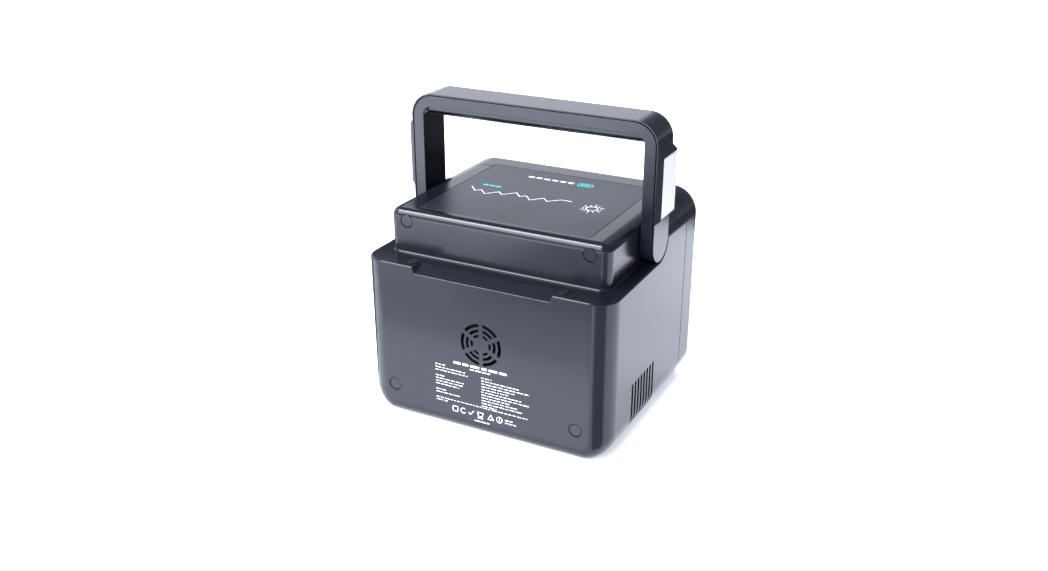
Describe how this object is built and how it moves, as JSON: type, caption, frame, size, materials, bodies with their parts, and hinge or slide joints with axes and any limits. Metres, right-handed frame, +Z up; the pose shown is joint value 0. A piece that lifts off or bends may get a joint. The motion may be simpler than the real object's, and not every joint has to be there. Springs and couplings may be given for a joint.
{
  "type": "portable power station",
  "caption": "Box-shaped camping battery station with a carrying handle that folds back onto a ledge, lamps on the handle's legs, a rear fan grille and side vents.",
  "frame": {"origin": "on the ground plane under the middle of the object's box, where the rubber feet stand", "axes": "+Z up, +Y towards the rear wall with the fan grille, +X towards the left side as seen from the rear"},
  "size_m": [0.197, 0.168, 0.2239],
  "materials": {
    "case_plastic": "satin, fine moulded texture",
    "panel_plastic": "satin, very fine texture",
    "front_plastic": "satin",
    "rubber": "matte",
    "steel": "plain zinc",
    "display_glass": "gloss",
    "lamp_diffuser": "satin white",
    "circuit_board": "solder resist",
    "aluminium": "extruded",
    "cell_wrap": "shrink wrap",
    "tray_plastic": "moulded",
    "core": "lacquered laminations and tape",
    "button_plastic": "satin"
  },
  "bodies": {
    "case": {"rear_shell": "case_plastic", "front_shell": "case_plastic", "low_plug_left": "case_plastic", "low_plug_right": "case_plastic", "high_plug_left": "case_plastic", "high_plug_right": "case_plastic", "top_panel": "panel_plastic", "front_panel": "front_plastic", "display_module": "front_plastic", "ac_outlet_left": "front_plastic", "ac_outlet_right": "front_plastic", "car_socket": "front_plastic", "dc_jack_1": "front_plastic", "dc_jack_2": "front_plastic", "charge_jack": "front_plastic", "handle_bumper_left": "rubber", "handle_bumper_right": "rubber", "foot_rear_left": "rubber", "foot_rear_right": "rubber", "foot_front_left": "rubber", "foot_front_right": "rubber", "case_screw_1": "steel", "case_screw_2": "steel", "case_screw_3": "steel", "case_screw_4": "steel", "pivot_pin_left": "steel", "pivot_pin_right": "steel", "usb_a_port_1": "steel", "usb_a_port_2": "steel", "usb_c_port": "steel", "display_window": "display_glass", "control_board": "circuit_board", "inverter_board": "circuit_board", "battery_board": "circuit_board", "heat_sink": "aluminium", "battery_cell_1": "cell_wrap", "battery_cell_2": "cell_wrap", "battery_cell_3": "cell_wrap", "battery_cell_4": "cell_wrap", "battery_cell_5": "cell_wrap", "battery_cell_6": "cell_wrap", "battery_cell_7": "cell_wrap", "battery_cell_8": "cell_wrap", "cell_holder_bottom": "tray_plastic", "cell_holder_top": "tray_plastic", "fan_frame": "tray_plastic", "transformer": "core"},
    "handle": {"handle_frame": "case_plastic", "handle_cover": "case_plastic", "lamp_lens_left": "lamp_diffuser", "lamp_lens_right": "lamp_diffuser", "lamp_board_left": "circuit_board", "lamp_board_right": "circuit_board"},
    "fan": {"fan_rotor": "tray_plastic"},
    "power_push": {"power_button": "button_plastic"},
    "lamp_push": {"lamp_button": "button_plastic"},
    "dc_push": {"dc_button": "button_plastic"},
    "ac_push": {"ac_button": "button_plastic"}
  },
  "joints": [
    {"name": "handle_fold", "type": "hinge", "parent": "case", "child": "handle", "pos_m": [0, -0.0018, 0.13675], "axis": [-1, 0, 0], "range_deg": [0, 90]},
    {"name": "fan_spin", "type": "hinge", "parent": "case", "child": "fan", "pos_m": [0, 0.0762, 0.0736], "axis": [0, 1, 0], "continuous": true},
    {"name": "power_press", "type": "slide", "parent": "case", "child": "power_push", "axis": [0, 1, 0], "range_m": [0, 0.0008], "stiffness_N_per_m": 900, "springref_m": -0.0005},
    {"name": "lamp_press", "type": "slide", "parent": "case", "child": "lamp_push", "axis": [0, 1, 0], "range_m": [0, 0.0008], "stiffness_N_per_m": 900, "springref_m": -0.0005},
    {"name": "dc_press", "type": "slide", "parent": "case", "child": "dc_push", "axis": [0, 1, 0], "range_m": [0, 0.0008], "stiffness_N_per_m": 900, "springref_m": -0.0005},
    {"name": "ac_press", "type": "slide", "parent": "case", "child": "ac_push", "axis": [0, 1, 0], "range_m": [0, 0.0008], "stiffness_N_per_m": 900, "springref_m": -0.0005}
  ]
}
